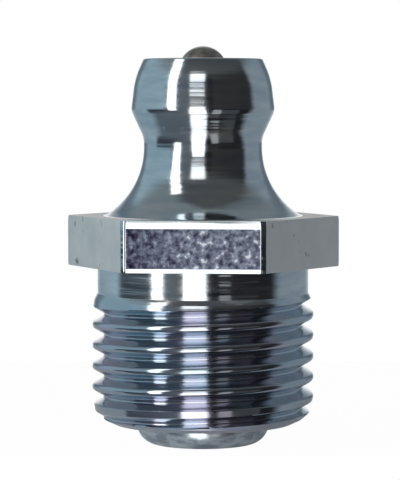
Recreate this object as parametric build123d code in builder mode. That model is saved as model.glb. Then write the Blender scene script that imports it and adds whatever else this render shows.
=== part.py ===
# Hydraulic grease nipple, upright: a turned steel body with a spanner hexagon, a straight shank thread
# and a coupler head, a check ball behind the mouth of the head, and the long spring that holds it shut.
# Millimetres. The origin is on the axis at the end of the tail, and +Z points out through the head.

import os
from math import atan, ceil, cos, degrees, radians, sin, sqrt, tan

from build123d import *

os.makedirs("parts", exist_ok=True)

# Tail: the thin end below the thread, rolled inwards to keep the spring in
tail_radius = 2.94
tail_height = 1.08
tail_corner_radius = 0.85
tail_lip_height = 0.70
outlet_radius = 0.80

# Thread: right-hand, 27 turns to the inch, with 60 degrees between its flanks
thread_pitch = 0.941
thread_crest_radius = 5.04
thread_length = 5.67
thread_flank_angle = 30.0
thread_flats_per_pitch = 8
thread_start_radius = 4.35
thread_chamfer_angle = 45.0
thread_lead_length = 1.25
thread_lead_depth = 0.15
thread_fade_length = 0.70
groove_end_gap = 0.21
groove_end_azimuth = 15.0
runout_share_of_turn = 0.25

# Plain shank between the thread and the hexagon
shank_radius = 4.80
shank_length = 1.50

# Hexagon for the spanner, with rolled rims at its top and bottom edges
hexagon_across_flats = 11.0
hexagon_height = 2.27
hexagon_corner_radius = 0.80
hexagon_rim_height = 0.30
hexagon_rim_depth = 0.08

# Flare from the hexagon up to the neck
flare_height = 3.12
flare_base_radius = 4.48
flare_blend_radius = 1.0

# Neck and coupler head
neck_radius = 2.675
neck_height = 0.39
throat_radius = 1.0
head_underside_height = 1.23
belly_radius = 3.25
belly_land_height = 0.43
belly_corner_radius = 0.55
head_cone_height = 1.95
head_top_radius = 2.72
head_rim_radius = 0.10

# Grease way, check ball and ball seat
bore_radius = 1.25
ball_radius = 1.10
ball_rise = 0.56
seat_half_angle = 25.0
seat_gap = 0.02

# Ball spring: round wire, with closed and ground ends
spring_mean_radius = 0.90
spring_wire_radius = 0.16
spring_active_turns = 8
spring_closed_gap = 0.03
spring_end_gap = 0.02
spring_ground_share = 0.65

# How closely a face or an edge has to lie to a level to be picked there
level_tolerance = 0.001

# Levels up the axis
thread_start_z = tail_height
shank_start_z = thread_start_z + thread_length
hexagon_bottom_z = shank_start_z + shank_length
hexagon_top_z = hexagon_bottom_z + hexagon_height
neck_start_z = hexagon_top_z + flare_height
neck_end_z = neck_start_z + neck_height
belly_start_z = neck_end_z + head_underside_height
belly_end_z = belly_start_z + belly_land_height
head_top_z = belly_end_z + head_cone_height

# Thread section: a groove between two flanks, with equal flats at the crest and at the root
thread_flat = thread_pitch / thread_flats_per_pitch
flank_slope = tan(radians(thread_flank_angle))
thread_depth = (thread_pitch - 2 * thread_flat) / (2 * flank_slope)
thread_root_radius = thread_crest_radius - thread_depth
groove_overshoot = thread_flat / 4
groove_cut_depth = thread_depth + groove_overshoot
groove_floor_half = thread_flat / 2
groove_mouth_half = groove_floor_half + groove_cut_depth * flank_slope
groove_end_z = shank_start_z - groove_end_gap
groove_turns = ceil((groove_end_z - thread_start_z + groove_mouth_half) / thread_pitch)

# The groove's last part of a turn climbs a cone until its floor is clear of the crest
runout_height = thread_pitch * runout_share_of_turn
runout_cone_angle = degrees(atan(groove_cut_depth / runout_height))

# Ends of the thread: a chamfer and a shallow lead-in below, and a fade to the plain shank above
lead_start_radius = thread_crest_radius - thread_lead_depth
chamfer_height = (lead_start_radius - thread_start_radius) / tan(radians(thread_chamfer_angle))
lead_start_z = thread_start_z + chamfer_height
lead_end_z = lead_start_z + thread_lead_length
fade_start_z = shank_start_z - thread_fade_length

# Ball at rest, and the seat cone that lies one gap outside it
ball_center_z = head_top_z + ball_rise - ball_radius
seat_sine = sin(radians(seat_half_angle))
seat_cosine = cos(radians(seat_half_angle))
seat_reach = ball_radius + seat_gap
seat_mouth_radius = (seat_reach - (head_top_z - ball_center_z) * seat_sine) / seat_cosine
seat_base_z = ball_center_z + (seat_reach - bore_radius * seat_cosine) / seat_sine

# Spring: it stands on the tail's lip and its top end carries the ball
spring_inner_radius = spring_mean_radius - spring_wire_radius
spring_bottom_z = tail_lip_height + spring_end_gap
spring_top_z = ball_center_z - sqrt(ball_radius**2 - spring_inner_radius**2) - spring_end_gap
wire_left_by_grinding = spring_wire_radius * (1 - spring_ground_share)
wire_start_z = spring_bottom_z + wire_left_by_grinding
wire_end_z = spring_top_z - wire_left_by_grinding
closed_pitch = 2 * spring_wire_radius + spring_closed_gap
active_pitch = (wire_end_z - wire_start_z - 2 * closed_pitch) / spring_active_turns


# Body: one turned piece, with the hexagon left from the bar and the thread cut into the shank
with BuildPart() as nipple_body:
    with BuildSketch(Plane.XZ):
        with BuildLine():
            lower_outline = FilletPolyline(
                (0, 0),
                (tail_radius, 0),
                (tail_radius, thread_start_z),
                (thread_start_radius, thread_start_z),
                (lead_start_radius, lead_start_z),
                (thread_crest_radius, lead_end_z),
                (thread_crest_radius, fade_start_z),
                (shank_radius, shank_start_z),
                (shank_radius, hexagon_top_z),
                (flare_base_radius, hexagon_top_z),
                radius=[tail_corner_radius, 0, 0, 0, 0, 0, 0, 0],
            )
            TangentArc(
                (neck_radius, neck_start_z),
                (flare_base_radius, hexagon_top_z),
                tangent=(0, -1),
            )
            head_outline = FilletPolyline(
                (neck_radius, neck_start_z),
                (neck_radius, neck_end_z),
                (belly_radius, belly_start_z),
                (belly_radius, belly_end_z),
                (head_top_radius, head_top_z),
                (0, head_top_z),
                radius=[throat_radius, belly_corner_radius, belly_corner_radius, head_rim_radius],
            )
            Line(head_outline @ 1, lower_outline @ 0)
        make_face()
    revolve(axis=Axis.Z)

    # The thread groove, one turn at a time from below the chamfer, and the run-out as its last pass
    outward = Vector(1, 0, 0).rotate(Axis.Z, groove_end_azimuth)
    around = Vector(0, 1, 0).rotate(Axis.Z, groove_end_azimuth)
    for turn in range(groove_turns + 1):
        turn_z = groove_end_z - (groove_turns - turn) * thread_pitch
        with BuildLine(Plane(origin=(0, 0, turn_z), x_dir=outward, z_dir=(0, 0, 1))) as groove_path:
            if turn < groove_turns:
                Helix(pitch=thread_pitch, height=thread_pitch, radius=thread_root_radius)
            else:
                Helix(
                    pitch=thread_pitch / cos(radians(runout_cone_angle)),
                    height=runout_height,
                    radius=thread_root_radius,
                    cone_angle=runout_cone_angle,
                )
        with BuildSketch(Plane(origin=groove_path.line @ 0, x_dir=outward, z_dir=around)):
            Polygon(
                (0, -groove_floor_half),
                (groove_cut_depth, -groove_mouth_half),
                (groove_cut_depth, groove_mouth_half),
                (0, groove_floor_half),
                align=None,
            )
        sweep(path=groove_path.line, is_frenet=True, mode=Mode.SUBTRACT)

    # Hexagon, two of its corners on the X axis
    with BuildSketch(Plane.XY.offset(hexagon_bottom_z)) as hexagon:
        RegularPolygon(hexagon_across_flats / 2, side_count=6, major_radius=False)
        fillet(hexagon.vertices(), hexagon_corner_radius)
    extrude(amount=hexagon_height)

    # Rolled rims: the flats lean in a little along both ends of the hexagon
    for face_z in (hexagon_bottom_z, hexagon_top_z):
        level_faces = nipple_body.faces().filter_by(Axis.Z).filter_by_position(
            Axis.Z, face_z - level_tolerance, face_z + level_tolerance
        )
        hexagon_face = level_faces.sort_by(SortBy.AREA)[-1]
        chamfer(
            hexagon_face.outer_wire().edges(),
            length=hexagon_rim_depth,
            length2=hexagon_rim_height,
            reference=hexagon_face,
        )

    # The flare runs into the top of the hexagon with a small blend
    level_circles = nipple_body.edges().filter_by(GeomType.CIRCLE).filter_by_position(
        Axis.Z, hexagon_top_z - level_tolerance, hexagon_top_z + level_tolerance
    )
    fillet(level_circles.sort_by(SortBy.LENGTH)[-1], flare_blend_radius)

    # Grease way: a straight bore, with the lip that carries the spring below and the ball seat above
    with BuildSketch(Plane.XZ):
        Polygon(
            (0, 0),
            (outlet_radius, 0),
            (outlet_radius, tail_lip_height),
            (bore_radius, tail_lip_height),
            (bore_radius, seat_base_z),
            (seat_mouth_radius, head_top_z),
            (0, head_top_z),
            align=None,
        )
    revolve(axis=Axis.Z, mode=Mode.SUBTRACT)

nipple_body.part.label = "nipple_body"
export_step(nipple_body.part, "parts/nipple_body.step")


# Check ball
with BuildPart(Plane.XY.offset(ball_center_z)) as check_ball:
    Sphere(ball_radius)

check_ball.part.label = "check_ball"
export_step(check_ball.part, "parts/check_ball.step")


# Ball spring: a closed turn at each end and open turns between, each swept from the end of the last
with BuildPart() as ball_spring:
    turn_z = wire_start_z
    for turn_pitch in [closed_pitch] + [active_pitch] * spring_active_turns + [closed_pitch]:
        with BuildLine(Plane.XY.offset(turn_z)) as wire_path:
            Helix(pitch=turn_pitch, height=turn_pitch, radius=spring_mean_radius)
        with BuildSketch(Plane(origin=wire_path.line @ 0, x_dir=(1, 0, 0), z_dir=(0, 1, 0))):
            Circle(spring_wire_radius)
        sweep(path=wire_path.line, is_frenet=True)
        turn_z += turn_pitch

    # Both ends are ground flat
    with BuildSketch(Plane.XY.offset(spring_bottom_z)):
        Circle(spring_mean_radius + 2 * spring_wire_radius)
    extrude(amount=-2 * spring_wire_radius, mode=Mode.SUBTRACT)
    with BuildSketch(Plane.XY.offset(spring_top_z)):
        Circle(spring_mean_radius + 2 * spring_wire_radius)
    extrude(amount=2 * spring_wire_radius, mode=Mode.SUBTRACT)

ball_spring.part.label = "ball_spring"
export_step(ball_spring.part, "parts/ball_spring.step")
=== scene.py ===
# Hydraulic grease nipple, standing on its tail: a turned, zinc-plated steel body with a spanner
# hexagon and a straight thread, a check ball in the mouth of its coupler head, and the spring
# behind the ball. Metres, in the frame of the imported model: the origin is on the axis at the end
# of the tail, and +Z is up.

import math

import bmesh
import bpy
from mathutils import Matrix, Vector


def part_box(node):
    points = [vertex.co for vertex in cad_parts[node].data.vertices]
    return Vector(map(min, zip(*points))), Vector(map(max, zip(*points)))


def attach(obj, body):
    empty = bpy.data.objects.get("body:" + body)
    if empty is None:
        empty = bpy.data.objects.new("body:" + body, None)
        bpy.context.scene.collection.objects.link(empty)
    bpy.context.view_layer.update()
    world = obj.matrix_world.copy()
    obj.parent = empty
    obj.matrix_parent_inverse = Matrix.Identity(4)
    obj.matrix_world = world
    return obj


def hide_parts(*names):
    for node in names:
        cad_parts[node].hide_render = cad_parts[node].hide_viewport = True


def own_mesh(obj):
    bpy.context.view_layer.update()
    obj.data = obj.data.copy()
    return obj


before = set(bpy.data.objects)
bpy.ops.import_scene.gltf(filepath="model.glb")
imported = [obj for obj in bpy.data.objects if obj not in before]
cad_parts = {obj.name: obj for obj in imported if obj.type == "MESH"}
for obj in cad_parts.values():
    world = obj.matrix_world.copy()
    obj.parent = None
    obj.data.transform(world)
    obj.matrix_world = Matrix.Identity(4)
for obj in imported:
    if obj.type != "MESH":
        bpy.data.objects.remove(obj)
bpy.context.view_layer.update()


# ---------------------------------------------------------------------------------------------
# Camera and room. The nipple stands on a white sheet in a studio that is dark in front, where the
# camera is, and pale at the sides. A tall soft box stands at the left, a wide one and two windows
# in front, and two low fills at the right.
# ---------------------------------------------------------------------------------------------
view_azimuth = math.radians(4.66)
view_elevation = math.radians(3.3)
view_distance = 0.115
view_target_height = 0.0094
view_target_left = 0.000135
view_lens = 126.3
view_sensor_height = 24.0
view_clip_start = 0.001

to_camera = Vector((
    math.sin(view_azimuth) * math.cos(view_elevation),
    -math.cos(view_azimuth) * math.cos(view_elevation),
    math.sin(view_elevation),
))
picture_right = Vector((math.cos(view_azimuth), math.sin(view_azimuth), 0))
picture_up = to_camera.cross(picture_right)
view_target = Vector((0, 0, view_target_height)) - picture_right * view_target_left

camera = bpy.data.objects.new("camera", bpy.data.cameras.new("camera"))
camera.data.sensor_fit = "VERTICAL"
camera.data.sensor_height = view_sensor_height
camera.data.lens = view_lens
camera.data.clip_start = view_clip_start
camera.matrix_world = (
    Matrix.Translation(view_target + to_camera * view_distance)
    @ Matrix((picture_right, picture_up, to_camera)).transposed().to_4x4()
)
bpy.context.collection.objects.link(camera)
bpy.context.scene.camera = camera
bpy.context.scene.view_settings.view_transform = "Standard"

# The room as the metal sees it: tones by the turn to the right of the camera's side, in degrees
wall_tones = (
    (-180, (0.55, 0.58, 0.60)), (-168, (0.50, 0.55, 0.58)), (-158, (0.14, 0.18, 0.22)),
    (-146, (0.18, 0.24, 0.28)), (-134, (0.36, 0.48, 0.54)), (-68, (0.33, 0.46, 0.53)),
    (-60, (0.18, 0.22, 0.26)), (-42, (0.13, 0.15, 0.18)), (-24, (0.12, 0.14, 0.15)),
    (2, (0.06, 0.06, 0.065)), (6, (0.014, 0.014, 0.018)), (15, (0.02, 0.02, 0.022)),
    (19, (0.04, 0.04, 0.04)), (84, (0.032, 0.032, 0.035)), (93, (0.27, 0.32, 0.36)),
    (134, (0.28, 0.33, 0.37)), (146, (0.16, 0.20, 0.23)), (158, (0.13, 0.17, 0.20)),
    (168, (0.50, 0.55, 0.58)), (180, (0.55, 0.58, 0.60)),
)
ceiling_tones = (
    (-180, (0.24, 0.28, 0.30)), (-80, (0.21, 0.25, 0.26)), (-50, (0.095, 0.10, 0.105)),
    (84, (0.085, 0.09, 0.09)), (106, (0.16, 0.19, 0.20)), (180, (0.24, 0.28, 0.30)),
)
table_tones = (
    (-180, (0.60, 0.64, 0.66)), (-166, (0.55, 0.60, 0.64)), (-150, (0.30, 0.38, 0.44)),
    (-107, (0.36, 0.49, 0.57)), (-99, (0.055, 0.06, 0.075)), (-60, (0.055, 0.06, 0.075)),
    (-36, (0.13, 0.15, 0.17)), (2, (0.06, 0.06, 0.07)), (7, (0.010, 0.010, 0.013)),
    (80, (0.02, 0.02, 0.022)), (92, (0.28, 0.33, 0.37)), (150, (0.27, 0.32, 0.36)),
    (166, (0.55, 0.60, 0.64)), (180, (0.60, 0.64, 0.66)),
)
floor_tones = (
    (-180, (0.60, 0.64, 0.66)), (-150, (0.30, 0.38, 0.44)), (-107, (0.30, 0.40, 0.47)),
    (-92, (0.12, 0.15, 0.18)), (-36, (0.12, 0.14, 0.16)), (2, (0.06, 0.06, 0.07)),
    (7, (0.010, 0.010, 0.013)), (80, (0.02, 0.02, 0.022)), (92, (0.28, 0.33, 0.37)),
    (150, (0.27, 0.32, 0.36)), (180, (0.60, 0.64, 0.66)),
)

# Where one tone gives way to the next, as heights on a sphere of radius 1 round the nipple
ceiling_rises = [math.sin(math.radians(rise)) for rise in (27, 46)]
table_falls = [math.sin(math.radians(rise)) for rise in (-1.9, -3.3)]
floor_falls = [math.sin(math.radians(rise)) for rise in (-14, -30)]
backdrop_falls = [math.sin(math.radians(rise)) for rise in (42, 30)]
backdrop_turns = [math.radians(turn) for turn in (166, 172)]
backdrop_white = (1, 1, 1)

world = bpy.data.worlds.new("pale_room")
world.use_nodes = True
bpy.context.scene.world = world
nodes = world.node_tree.nodes
links = world.node_tree.links
nodes.clear()


def add_ramp(nodes, links, value, stops):
    """The colour that a ramp gives for a value. Each stop is a position and a colour."""
    ramp = nodes.new("ShaderNodeValToRGB")
    ramp.color_ramp.elements.remove(ramp.color_ramp.elements[1])
    for place, (position, colour) in enumerate(stops):
        stop = ramp.color_ramp.elements.new(position) if place else ramp.color_ramp.elements[0]
        stop.position = position
        stop.color = (*colour, 1)
    links.new(value, ramp.inputs["Fac"])
    return ramp.outputs["Color"]


def add_mix(nodes, links, factor, first, second):
    """A mix of two colours, each of them a node's output or a plain colour."""
    mix = nodes.new("ShaderNodeMix")
    mix.data_type = "RGBA"
    factor_socket, first_socket, second_socket = mix.inputs[0], mix.inputs[6], mix.inputs[7]
    links.new(factor, factor_socket)
    for socket, value in ((first_socket, first), (second_socket, second)):
        if isinstance(value, bpy.types.NodeSocket):
            links.new(value, socket)
        else:
            socket.default_value = (*value, 1)
    return mix.outputs[2]


def add_maths(nodes, links, operation, *values):
    """A sum on nodes' outputs and plain numbers."""
    maths = nodes.new("ShaderNodeMath")
    maths.operation = operation
    for socket, value in zip(maths.inputs, values):
        if isinstance(value, bpy.types.NodeSocket):
            links.new(value, socket)
        else:
            socket.default_value = value
    return maths.outputs["Value"]


def add_range(nodes, links, value, low, high, to_low=0.0, to_high=1.0, interpolation="LINEAR"):
    """A value's share of the way from low to high, held at both ends, on a new scale."""
    spread = nodes.new("ShaderNodeMapRange")
    spread.interpolation_type = interpolation
    spread.inputs["From Min"].default_value = low
    spread.inputs["From Max"].default_value = high
    spread.inputs["To Min"].default_value = to_low
    spread.inputs["To Max"].default_value = to_high
    links.new(value, spread.inputs["Value"])
    return spread.outputs["Result"]


def add_rays(nodes, links):
    """Two tests: is a ray straight from the camera, and has it been mirrored or let through."""
    rays = nodes.new("ShaderNodeLightPath")
    mirrored = add_maths(
        nodes, links, "ADD", rays.outputs["Is Glossy Ray"], rays.outputs["Is Transmission Ray"],
    )
    return rays.outputs["Is Camera Ray"], mirrored


direction = nodes.new("ShaderNodeTexCoord")
turned = nodes.new("ShaderNodeVectorRotate")
turned.rotation_type = "Z_AXIS"
turned.inputs["Angle"].default_value = -view_azimuth
links.new(direction.outputs["Generated"], turned.inputs["Vector"])
parts = nodes.new("ShaderNodeSeparateXYZ")
links.new(turned.outputs["Vector"], parts.inputs["Vector"])
height = parts.outputs["Z"]
toward = add_maths(nodes, links, "MULTIPLY", parts.outputs["Y"], -1)
bearing = add_maths(nodes, links, "ARCTAN2", parts.outputs["X"], toward)
share = add_range(nodes, links, bearing, -math.pi, math.pi)

room, ceiling, table, ground = (
    add_ramp(nodes, links, share, [((turn + 180) / 360, tone) for turn, tone in tones])
    for tones in (wall_tones, ceiling_tones, table_tones, floor_tones)
)
for tone, rises in ((ceiling, ceiling_rises), (table, table_falls), (ground, floor_falls)):
    reach = add_range(nodes, links, height, *rises, interpolation="SMOOTHSTEP")
    room = add_mix(nodes, links, reach, room, tone)

# The camera sees the white backdrop all round. The metal sees it where it hangs, behind the nipple
straight, mirrored = add_rays(nodes, links)
turn_away = add_maths(nodes, links, "ABSOLUTE", bearing)
behind = add_range(nodes, links, turn_away, *backdrop_turns)
below_top = add_range(nodes, links, height, *backdrop_falls)
hung = add_maths(nodes, links, "MULTIPLY", behind, below_top)
backdrop = add_maths(nodes, links, "MULTIPLY_ADD", mirrored, hung, straight)
background = nodes.new("ShaderNodeBackground")
links.new(add_mix(nodes, links, backdrop, room, backdrop_white), background.inputs["Color"])
room_output = nodes.new("ShaderNodeOutputWorld")
links.new(background.outputs["Background"], room_output.inputs["Surface"])

soft_box_distance = 0.25


def add_soft_box(name, turn, low, high, width, radiance, lean=0):
    """A rectangular lamp that faces the nipple: its turn from the camera's side, the heights from
    low to high and the width that it fills, and how far it leans, all in degrees."""
    lamp_turn = view_azimuth + math.radians(turn)
    lamp_rise = math.radians((low + high) / 2)
    to_lamp = Vector((
        math.sin(lamp_turn) * math.cos(lamp_rise),
        -math.cos(lamp_turn) * math.cos(lamp_rise),
        math.sin(lamp_rise),
    ))
    lamp = bpy.data.lights.new(name, "AREA")
    lamp.shape = "RECTANGLE"
    lamp.size = 2 * soft_box_distance * math.tan(math.radians(width / 2))
    lamp.size_y = 2 * soft_box_distance * math.tan(math.radians((high - low) / 2))
    lamp.energy = radiance * math.pi * lamp.size * lamp.size_y
    box = bpy.data.objects.new(name, lamp)
    box.matrix_world = (
        Matrix.Translation(Vector((0, 0, view_target_height)) + to_lamp * soft_box_distance)
        @ to_lamp.to_track_quat("Z", "Y").to_matrix().to_4x4()
        @ Matrix.Rotation(math.radians(lean), 4, "Z")
    )
    box.visible_camera = False
    bpy.context.collection.objects.link(box)


add_soft_box("tall_soft_box", turn=-54, low=-12, high=58, width=15, radiance=2.4, lean=8)
add_soft_box("front_soft_box", turn=-9, low=-50, high=12, width=26, radiance=2.0)
add_soft_box("front_window_low", turn=-10, low=17.6, high=21.5, width=23, radiance=1.7)
add_soft_box("front_window_high", turn=-10, low=26.5, high=41, width=23, radiance=1.5)
add_soft_box("low_fill", turn=23.5, low=-45, high=-7, width=13, radiance=0.4)
add_soft_box("low_fill_wide", turn=46, low=-45, high=-8, width=32, radiance=0.06)

# The sheet's front edge is just in front of the tail, and the sheet runs back from there
sheet_width = 0.040
sheet_front = 0.0034
sheet_white = (0.88, 0.88, 0.88)
sheet_glow = 0.98
sheet_mirror_share = 0.10


def add_piece(name, shape, smooth=True):
    """Makes a finished shape an object of that name, and gives back the object and its mesh."""
    for face in shape.faces:
        face.smooth = smooth
    mesh = bpy.data.meshes.new(name)
    shape.to_mesh(mesh)
    shape.free()
    piece = bpy.data.objects.new(name, mesh)
    bpy.context.collection.objects.link(piece)
    return piece, mesh


sheet = bmesh.new()
bmesh.ops.create_grid(
    sheet, x_segments=1, y_segments=1, size=sheet_width / 2,
    matrix=(
        Matrix.Rotation(view_azimuth, 4, "Z")
        @ Matrix.Translation((0, sheet_width / 2 - sheet_front, 0))
    ),
)
floor, floor_mesh = add_piece("paper_sheet", sheet, smooth=False)

paper = bpy.data.materials.new("white_paper")
paper.use_nodes = True
nodes = paper.node_tree.nodes
links = paper.node_tree.links
nodes.clear()
matt = nodes.new("ShaderNodeBsdfDiffuse")
matt.inputs["Color"].default_value = (*sheet_white, 1)
glow = nodes.new("ShaderNodeEmission")
straight, mirrored = add_rays(nodes, links)
shown = add_maths(nodes, links, "MULTIPLY_ADD", mirrored, sheet_mirror_share, straight)
seen = nodes.new("ShaderNodeMixShader")
links.new(add_maths(nodes, links, "MULTIPLY", shown, sheet_glow), seen.inputs["Fac"])
links.new(matt.outputs["BSDF"], seen.inputs[1])
links.new(glow.outputs["Emission"], seen.inputs[2])
paper_output = nodes.new("ShaderNodeOutputMaterial")
links.new(seen.outputs["Shader"], paper_output.inputs["Surface"])
floor_mesh.materials.append(paper)


# ---------------------------------------------------------------------------------------------
# Body. One piece of hexagonal steel bar, turned to shape: coupler head, neck and flare above the
# hexagon, shank, thread and tail below it, drilled right through, then plated with bright zinc.
# ---------------------------------------------------------------------------------------------
mm = 0.001
turn_steps = 240
level_tolerance = 1e-7
fill_tolerance = 1e-6
merge_distance = 0.001 * mm

tail_radius = 3.0 * mm
tail_corner_radius = 0.88 * mm
tail_dome = 0.20 * mm
tail_height = 1.08 * mm
tail_lip_height = 0.70 * mm
outlet_radius = 0.80 * mm
start_face_radius = 3.90 * mm
bore_radius = 1.25 * mm
seat_base_height = 17.07 * mm
seat_mouth_radius = 0.984 * mm
head_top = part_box("nipple_body")[1].z
head_top_radius = 2.70 * mm
head_rim_radius = 0.10 * mm
head_shoulder_radius = 3.09 * mm
head_shoulder_height = head_top - 0.90 * mm
head_shoulder_rounding = 3.0 * mm
belly_radius = 3.245 * mm
belly_corner_radius = 0.55 * mm
belly_top_height = head_top - 2.17 * mm
belly_base_height = belly_top_height - 0.23 * mm
neck_radius = 2.685 * mm
throat_radius = 1.0 * mm
neck_top_height = belly_base_height - 1.21 * mm
neck_base_height = neck_top_height - 0.39 * mm
flare_base_radius = 4.48 * mm
flare_blend_radius = 0.22 * mm
hexagon_top = neck_base_height - 3.12 * mm
hexagon_bottom = hexagon_top - 2.27 * mm
body_sharp_angle = math.radians(28)

body = bmesh.new()


def add_outline(shape, corners):
    """Joins corners, each a radius and a height, into an open outline beside the axis."""
    points = [shape.verts.new((radius, 0, height)) for radius, height in corners]
    for first, second in zip(points, points[1:]):
        shape.edges.new((first, second))
    return points


def round_corner(shape, corner, radius, segments):
    """Rounds a corner of an outline with an arc of that radius."""
    ahead, behind = (edge.other_vert(corner).co - corner.co for edge in corner.link_edges)
    setback = radius * math.tan((math.pi - ahead.angle(behind)) / 2)
    bmesh.ops.bevel(
        shape, geom=[corner], offset=setback, offset_type="OFFSET", segments=segments,
        profile=0.5, affect="VERTICES", material=-1,
    )


# The turning outline: from the thread's start face in to the tail, up the bore, over the head
outline = add_outline(body, (
    (start_face_radius, tail_height),
    (tail_radius, tail_height),
    (tail_radius, tail_dome),
    (outlet_radius, 0),
    (outlet_radius, tail_lip_height),
    (bore_radius, tail_lip_height),
    (bore_radius, seat_base_height),
    (seat_mouth_radius, head_top),
    (head_top_radius, head_top),
    (head_shoulder_radius, head_shoulder_height),
    (belly_radius, belly_top_height),
    (belly_radius, belly_base_height),
    (neck_radius, neck_top_height),
    (neck_radius, neck_base_height),
))
tail_edge = outline[2]
head_rim, head_shoulder, belly_top, belly_base, throat, flare_start = outline[-6:]

# The flare is an arc that leaves the neck straight down. A smaller arc brings it out to the level
flare_width = flare_base_radius - neck_radius
flare_height = neck_base_height - hexagon_top
flare_arc_radius = (flare_width**2 + flare_height**2) / (2 * flare_width)
blend_reach = flare_arc_radius - flare_blend_radius
flare_turn = math.asin((flare_height - flare_blend_radius) / blend_reach)
flare_centre = neck_radius + flare_arc_radius
blend_centre = flare_centre - blend_reach * math.cos(flare_turn)
flare = bmesh.ops.spin(
    body, geom=[flare_start], cent=(flare_centre, 0, neck_base_height),
    axis=(0, -1, 0), angle=flare_turn, steps=36, use_merge=False,
)
bmesh.ops.spin(
    body, geom=flare["geom_last"], cent=(blend_centre, 0, hexagon_top + flare_blend_radius),
    axis=(0, -1, 0), angle=math.pi / 2 - flare_turn, steps=12, use_merge=False,
)
round_corner(body, tail_edge, tail_corner_radius, segments=12)
round_corner(body, head_rim, head_rim_radius, segments=4)
round_corner(body, head_shoulder, head_shoulder_rounding, segments=12)
round_corner(body, belly_top, belly_corner_radius, segments=4)
round_corner(body, belly_base, belly_corner_radius, segments=8)
round_corner(body, throat, throat_radius, segments=12)
bmesh.ops.spin(
    body, geom=body.verts[:] + body.edges[:], cent=(0, 0, 0), axis=(0, 0, 1),
    angle=2 * math.pi, steps=turn_steps, use_merge=True,
)

# Thread: its section, repeated up the axis, is carried once round while it climbs by one pitch
thread_pitch = 0.941 * mm
thread_crest_radius = 5.04 * mm
thread_crest_width = thread_pitch / 4
thread_half_angle = math.radians(30)
thread_depth = (thread_pitch - thread_crest_width) / 2 / math.tan(thread_half_angle)
thread_apex_radius = thread_crest_radius - thread_depth
thread_repeats = 10
crest_rounding = 0.17 * mm
root_rounding = 0.10 * mm
shortest_flank = 0.2 * mm
flank_cuts = 3
groove_depth = 0.62 * mm
shank_radius = 4.80 * mm
shank_base_height = hexagon_bottom - 1.24 * mm
groove_end_turn = 15 / 360
groove_runout_turn = 0.25
groove_end_height = hexagon_bottom - 1.71 * mm
last_groove_height = groove_end_height - groove_end_turn * thread_pitch
thread_trim_height = shank_base_height + 0.15 * mm

# The blank's own outline limits the crests: a chamfer and a slight lead, and a roll to the shank
blank_outline = (
    (tail_height, 4.10 * mm),
    (tail_height + 0.20 * mm, 4.53 * mm),
    (tail_height + 0.52 * mm, 4.90 * mm),
    (tail_height + 1.30 * mm, thread_crest_radius),
    (shank_base_height - 0.85 * mm, thread_crest_radius),
    (shank_base_height - 0.34 * mm, 4.96 * mm),
    (shank_base_height - 0.22 * mm, 4.92 * mm),
    (shank_base_height - 0.10 * mm, 4.86 * mm),
    (shank_base_height, shank_radius),
    (thread_trim_height, shank_radius),
)

# The section has three corners to a pitch, the groove's root first. Its two ends aren't rounded
thread = bmesh.new()
section = []
for repeat in range(thread_repeats):
    groove_height = last_groove_height - (thread_repeats - 2 - repeat) * thread_pitch
    crest_height = groove_height + thread_pitch / 2
    section += [
        (thread_apex_radius, groove_height),
        (thread_crest_radius, crest_height - thread_crest_width / 2),
        (thread_crest_radius, crest_height + thread_crest_width / 2),
    ]
for place, corner in enumerate(add_outline(thread, section)[1:-1], start=1):
    rounding = crest_rounding if place % 3 else root_rounding
    round_corner(thread, corner, rounding, segments=6)
flanks = [edge for edge in thread.edges if edge.calc_length() > shortest_flank]
bmesh.ops.subdivide_edges(thread, edges=flanks, cuts=flank_cuts)
bmesh.ops.spin(
    thread, geom=thread.verts[:] + thread.edges[:], cent=(0, 0, 0), axis=(0, 0, 1),
    dvec=(0, 0, thread_pitch / turn_steps), angle=2 * math.pi, steps=turn_steps,
    use_merge=False,
)
bmesh.ops.remove_doubles(thread, verts=thread.verts, dist=merge_distance)


def cut_level(shape, height, keep_below=True, keep_above=True):
    """Cuts a shape along a level and drops what lies past it on a side that isn't kept."""
    bmesh.ops.bisect_plane(
        shape, geom=shape.verts[:] + shape.edges[:] + shape.faces[:], dist=level_tolerance,
        plane_co=(0, 0, height), plane_no=(0, 0, 1),
        clear_outer=not keep_above, clear_inner=not keep_below,
    )


for height, _ in blank_outline[1:-1]:
    cut_level(thread, height)
cut_level(thread, tail_height, keep_below=False)
cut_level(thread, thread_trim_height, keep_above=False)

# The groove runs out over a quarter turn below the shank, and no crest stands past the blank
for point in thread.verts:
    turn = math.atan2(point.co.y, point.co.x) / (2 * math.pi) % 1
    radius = point.co.xy.length
    grooves_up = (point.co.z - last_groove_height) / thread_pitch - turn
    turns_past_end = round(grooves_up) + turn - groove_end_turn
    radius += min(max(turns_past_end / groove_runout_turn, 0), 1) * groove_depth
    for (low, low_radius), (high, high_radius) in zip(blank_outline, blank_outline[1:]):
        if low - level_tolerance <= point.co.z <= high + level_tolerance:
            level_share = (point.co.z - low) / (high - low)
            radius = min(radius, low_radius + level_share * (high_radius - low_radius))
            break
    point.co.xy *= radius / point.co.xy.length
shank = bmesh.ops.extrude_edge_only(thread, edges=[
    edge for edge in thread.edges
    if edge.is_boundary and edge.verts[0].co.z > shank_base_height
])
bmesh.ops.translate(
    thread, vec=(0, 0, hexagon_bottom - thread_trim_height),
    verts=[item for item in shank["geom"] if isinstance(item, bmesh.types.BMVert)],
)
thread_mesh = bpy.data.meshes.new("thread_and_shank")
thread.to_mesh(thread_mesh)
thread.free()
body.from_mesh(thread_mesh)
bpy.data.meshes.remove(thread_mesh)

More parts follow.
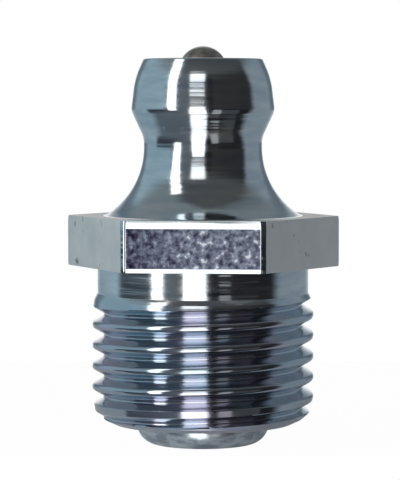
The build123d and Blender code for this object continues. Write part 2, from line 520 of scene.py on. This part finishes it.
# Hexagon: six corners rounded, then raised in steps, with a rolled rim at each end
hexagon_across_flats = 10.80 * mm
hexagon_corner_radius = 0.32 * mm
bottom_rim_height = 0.18 * mm
bottom_rim_inset = 0.012 * mm
top_rim_height = 0.34 * mm
top_rim_inset = 0.026 * mm
rim_steps = 4
side_flat_reach = 1 * mm
tallest_rim = 1 * mm
half_flats = hexagon_across_flats / 2
hexagon_height = hexagon_top - hexagon_bottom
flat_slot = 1
stained_and_shaded_slot = 2

corners = bmesh.ops.create_circle(
    body, cap_ends=False, segments=6, radius=half_flats / math.cos(math.pi / 6),
    matrix=Matrix.Translation((0, 0, hexagon_bottom)) @ Matrix.Rotation(math.pi / 6, 4, "Z"),
)
bmesh.ops.bevel(
    body, geom=corners["verts"], offset=hexagon_corner_radius * math.tan(math.pi / 6),
    offset_type="OFFSET", segments=8, profile=0.5, affect="VERTICES", material=-1,
)
climb = [step / rim_steps for step in range(rim_steps + 1)]
levels = [(share * bottom_rim_height, bottom_rim_inset * (1 - share) ** 2) for share in climb]
levels += [
    (hexagon_height - (1 - share) * top_rim_height, top_rim_inset * share**2) for share in climb
]
ring = [edge for edge in body.edges if not edge.link_faces]
ring_points = list({point for edge in ring for point in edge.verts})
first_growth = (half_flats - levels[0][1]) / half_flats
bmesh.ops.scale(body, vec=(first_growth, first_growth, 1), verts=ring_points)
hexagon_faces = []
for (low, low_inset), (high, high_inset) in zip(levels, levels[1:]):
    raised = bmesh.ops.extrude_edge_only(body, edges=ring)["geom"]
    ring_points = [item for item in raised if isinstance(item, bmesh.types.BMVert)]
    growth = (half_flats - high_inset) / (half_flats - low_inset)
    bmesh.ops.scale(body, vec=(growth, growth, 1), verts=ring_points)
    bmesh.ops.translate(body, vec=(0, 0, high - low), verts=ring_points)
    ring = [
        item for item in raised
        if isinstance(item, bmesh.types.BMEdge)
        and all(point in ring_points for point in item.verts)
    ]
    hexagon_faces += [item for item in raised if isinstance(item, bmesh.types.BMFace)]

# The four side flats are matt, and the front and back ones speckled and darkened with painted
# shade. Their rims and the rounded corners stay bright
for face in hexagon_faces:
    if face.calc_perimeter() > half_flats:
        if abs(face.calc_center_median().x) > side_flat_reach:
            face.material_index = flat_slot
        # The front and back flats get the zinc that is darkened with painted shade
        elif face.calc_area() > half_flats * tallest_rim:
            face.material_index = stained_and_shaded_slot

# The level faces: the thread's start face, and the hexagon's underside and top
for height in (tail_height, hexagon_bottom, hexagon_top):
    filled = bmesh.ops.triangle_fill(
        body, use_beauty=True, use_dissolve=False, normal=(0, 0, 1),
        edges=[
            edge for edge in body.edges if edge.is_boundary
            and all(abs(point.co.z - height) < fill_tolerance for point in edge.verts)
        ],
    )
    for item in filled["geom"]:
        if isinstance(item, bmesh.types.BMFace) and height > tail_height:
            item.material_index = flat_slot
bmesh.ops.recalc_face_normals(body, faces=body.faces)
plated_body, body_mesh = add_piece("plated_body", body)
body_mesh.set_sharp_from_angle(angle=body_sharp_angle)
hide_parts("nipple_body")
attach(plated_body, "body")


def add_material(name):
    """A new metal: its material, nodes, links and shader."""
    material = bpy.data.materials.new(name)
    material.use_nodes = True
    shader = material.node_tree.nodes["Principled BSDF"]
    shader.inputs["Metallic"].default_value = 1
    return material, material.node_tree.nodes, material.node_tree.links, shader


def add_axes(nodes, links):
    """The piece's own coordinates, apart from each other as X, Y and Z."""
    place = nodes.new("ShaderNodeTexCoord")
    axes = nodes.new("ShaderNodeSeparateXYZ")
    links.new(place.outputs["Object"], axes.inputs["Vector"])
    return axes.outputs


def add_noise(nodes, links, grain, detail=2.0, roughness=0.5):
    """Noise in the piece's own coordinates, with that many grains to the metre along each axis."""
    place = nodes.new("ShaderNodeTexCoord")
    stretched = nodes.new("ShaderNodeMapping")
    stretched.inputs["Scale"].default_value = grain
    links.new(place.outputs["Object"], stretched.inputs["Vector"])
    noise = nodes.new("ShaderNodeTexNoise")
    noise.inputs["Scale"].default_value = 1
    noise.inputs["Detail"].default_value = detail
    noise.inputs["Roughness"].default_value = roughness
    links.new(stretched.outputs["Vector"], noise.inputs["Vector"])
    return noise.outputs["Fac"]


def add_patches(nodes, links, grain, low, high, detail=3, roughness=0.5):
    """Noise with its contrast raised: 0 up to low, and 1 from high on."""
    return add_range(nodes, links, add_noise(nodes, links, grain, detail, roughness), low, high)


def add_bump(nodes, links, relief, depth, under=None):
    """A surface relief of that depth, on top of another one."""
    bump = nodes.new("ShaderNodeBump")
    bump.inputs["Distance"].default_value = depth
    links.new(relief, bump.inputs["Height"])
    if under is not None:
        links.new(under, bump.inputs["Normal"])
    return bump.outputs["Normal"]


# Turned faces: bright, bluish zinc with tool marks round the axis. A thicker film tints the
# thread, and the tail is blotched
blue_zinc = (0.50, 0.57, 0.63)
bright_zinc = (0.70, 0.73, 0.74)
thread_blue = (0.47, 0.55, 0.62)
thread_violet = (0.54, 0.53, 0.62)
tail_bright = (0.78, 0.86, 0.91)
tail_dull = (0.44, 0.50, 0.56)
film_grain = (450, 450, 2200)
thread_film_grain = (330, 330, 700)
tail_film_grain = (1400, 1400, 3200)
sheen_grain = (300, 300, 5000)
wave_grain = (90, 90, 1900)
tool_mark_grain = (160, 160, 6000)
wave_depth = 26e-6
tool_mark_depth = 3.4e-6
thread_tint_levels = (7.0 * mm, 6.3 * mm)
tail_tint_levels = (1.2 * mm, 0.9 * mm)
bright_roughness = (0.09, 0.16)
tail_extra_roughness = 0.12

zinc, nodes, links, shader = add_material("turned_zinc")
height = add_axes(nodes, links)["Z"]
film = add_patches(nodes, links, film_grain, low=0.32, high=0.68)
thread_film = add_patches(nodes, links, thread_film_grain, low=0.40, high=0.60)
tail_film = add_patches(nodes, links, tail_film_grain, low=0.42, high=0.60)
plain_tint = add_mix(nodes, links, film, blue_zinc, bright_zinc)
thread_tint = add_mix(nodes, links, thread_film, thread_blue, thread_violet)
tail_tint = add_mix(nodes, links, tail_film, tail_bright, tail_dull)
on_thread = add_range(nodes, links, height, *thread_tint_levels)
on_tail = add_range(nodes, links, height, *tail_tint_levels)
lower_tint = add_mix(nodes, links, on_tail, thread_tint, tail_tint)
tint = add_mix(nodes, links, on_thread, plain_tint, lower_tint)
links.new(tint, shader.inputs["Base Color"])
sheen = add_patches(nodes, links, sheen_grain, low=0.3, high=0.7)
satin = add_range(nodes, links, sheen, 0, 1, *bright_roughness)
tail_satin = add_range(nodes, links, height, *tail_tint_levels, to_high=tail_extra_roughness)
links.new(add_maths(nodes, links, "ADD", satin, tail_satin), shader.inputs["Roughness"])
waves = add_bump(nodes, links, add_noise(nodes, links, wave_grain), wave_depth)
tool_marks = add_noise(nodes, links, tool_mark_grain, roughness=0.6)
marked = add_bump(nodes, links, tool_marks, tool_mark_depth, under=waves)
links.new(marked, shader.inputs["Normal"])
body_mesh.materials.append(zinc)

# The hexagon's side flats: the drawn bar's own skin, matt under the plating, with a few pits
skin_dull = (0.81, 0.79, 0.76)
skin_bright = (0.92, 0.90, 0.87)
pit_brown = (0.30, 0.27, 0.26)
cloud_grain = (700, 700, 700)
pit_grain = (1500, 1500, 1500)
skin_grain = (9000, 9000, 9000)
skin_depth = 3e-6
skin_roughness = (0.52, 0.62)

flats, nodes, links, shader = add_material("flats_zinc")
clouds = add_patches(nodes, links, cloud_grain, low=0.3, high=0.7, detail=4)
pits = add_patches(nodes, links, pit_grain, low=0.66, high=0.78)
skin = add_mix(nodes, links, clouds, skin_dull, skin_bright)
links.new(add_mix(nodes, links, pits, skin, pit_brown), shader.inputs["Base Color"])
links.new(add_range(nodes, links, clouds, 0, 1, *skin_roughness), shader.inputs["Roughness"])
grain = add_noise(nodes, links, skin_grain)
links.new(add_bump(nodes, links, grain, skin_depth), shader.inputs["Normal"])
body_mesh.materials.append(flats)

# The front and back flats: purplish zinc, coarse and speckled, darkened all over with painted
# shade, and a painted fade from darker at the left to paler at the right
film_and_painted_shade_tones = (
    (0.0, (0.011, 0.010, 0.019)), (0.30, (0.048, 0.047, 0.083)), (0.62, (0.125, 0.138, 0.190)),
    (0.95, (0.26, 0.29, 0.35)), (1.0, (0.52, 0.56, 0.60)),
)
painted_fade_places = (-3.0 * mm, 0.0)
painted_fade_shares = (-0.10, 0.18)
speckle_grain = (3500, 3500, 3500)
stain_grain = (5000, 5000, 5000)
stain_depth = 16e-6
stain_roughness = 0.4

stained_and_shaded_flats, nodes, links, shader = add_material("stained_and_shaded_flat_zinc")
across = add_axes(nodes, links)["X"]
# Painted shade: the flat is darker at the left and paler towards the right
painted_fade = add_range(nodes, links, across, *painted_fade_places, *painted_fade_shares)
speckles = add_patches(
    nodes, links, speckle_grain, low=0.28, high=0.74, detail=2, roughness=0.6,
)
film_and_painted_shade = add_maths(nodes, links, "ADD", painted_fade, speckles)
# The ramp's dark tones are painted shade laid over the speckled film
links.new(add_ramp(nodes, links, film_and_painted_shade, film_and_painted_shade_tones), shader.inputs["Base Color"])
shader.inputs["Roughness"].default_value = stain_roughness
coarse = add_noise(nodes, links, stain_grain)
links.new(add_bump(nodes, links, coarse, stain_depth), shader.inputs["Normal"])
body_mesh.materials.append(stained_and_shaded_flats)


# ---------------------------------------------------------------------------------------------
# Check ball. A hardened steel ball, worn and a little stained, which closes the mouth of the head
# from within. The spring presses it up, and a grease gun pushes it down.
# ---------------------------------------------------------------------------------------------
ball_low, ball_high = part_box("check_ball")
ball_radius = (ball_high.z - ball_low.z) / 2
ball_brown = (0.27, 0.235, 0.19)
ball_bright = (0.48, 0.43, 0.37)
ball_stain_grain = (3000, 3000, 3000)
ball_wear_grain = (6000, 6000, 6000)
ball_wear_depth = 8e-6
ball_roughness = (0.30, 0.45)

ball = bmesh.new()
bmesh.ops.create_uvsphere(
    ball, u_segments=64, v_segments=32, radius=ball_radius,
    matrix=Matrix.Translation((0, 0, ball_high.z - ball_radius)),
)
closing_ball, ball_mesh = add_piece("closing_ball", ball)
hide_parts("check_ball")
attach(closing_ball, "ball")

steel, nodes, links, shader = add_material("bearing_steel")
stain = add_patches(nodes, links, ball_stain_grain, low=0.35, high=0.65)
links.new(add_mix(nodes, links, stain, ball_brown, ball_bright), shader.inputs["Base Color"])
links.new(add_range(nodes, links, stain, 0, 1, *ball_roughness), shader.inputs["Roughness"])
worn = add_noise(nodes, links, ball_wear_grain)
links.new(add_bump(nodes, links, worn, ball_wear_depth), shader.inputs["Normal"])
ball_mesh.materials.append(steel)


# ---------------------------------------------------------------------------------------------
# Ball spring. Coiled from round spring wire, with closed and ground ends. It stands loose in the
# bore, on the lip of the tail.
# ---------------------------------------------------------------------------------------------
wire_sharp_angle = math.radians(50)
wire_dull = (0.34, 0.34, 0.35)
wire_bright = (0.50, 0.50, 0.50)
wire_grain = (2500, 2500, 2500)
wire_roughness = (0.25, 0.38)

coil = bmesh.new()
coil.from_mesh(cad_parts["ball_spring"].data)
bmesh.ops.remove_doubles(coil, verts=coil.verts, dist=merge_distance)
coil_spring, coil_mesh = add_piece("coil_spring", coil)
coil_mesh.set_sharp_from_angle(angle=wire_sharp_angle)
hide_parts("ball_spring")
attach(coil_spring, "body")

wire, nodes, links, shader = add_material("spring_steel")
wear = add_patches(nodes, links, wire_grain, low=0.35, high=0.65)
links.new(add_mix(nodes, links, wear, wire_dull, wire_bright), shader.inputs["Base Color"])
links.new(add_range(nodes, links, wear, 0, 1, *wire_roughness), shader.inputs["Roughness"])
coil_mesh.materials.clear()
coil_mesh.materials.append(wire)
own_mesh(coil_spring)
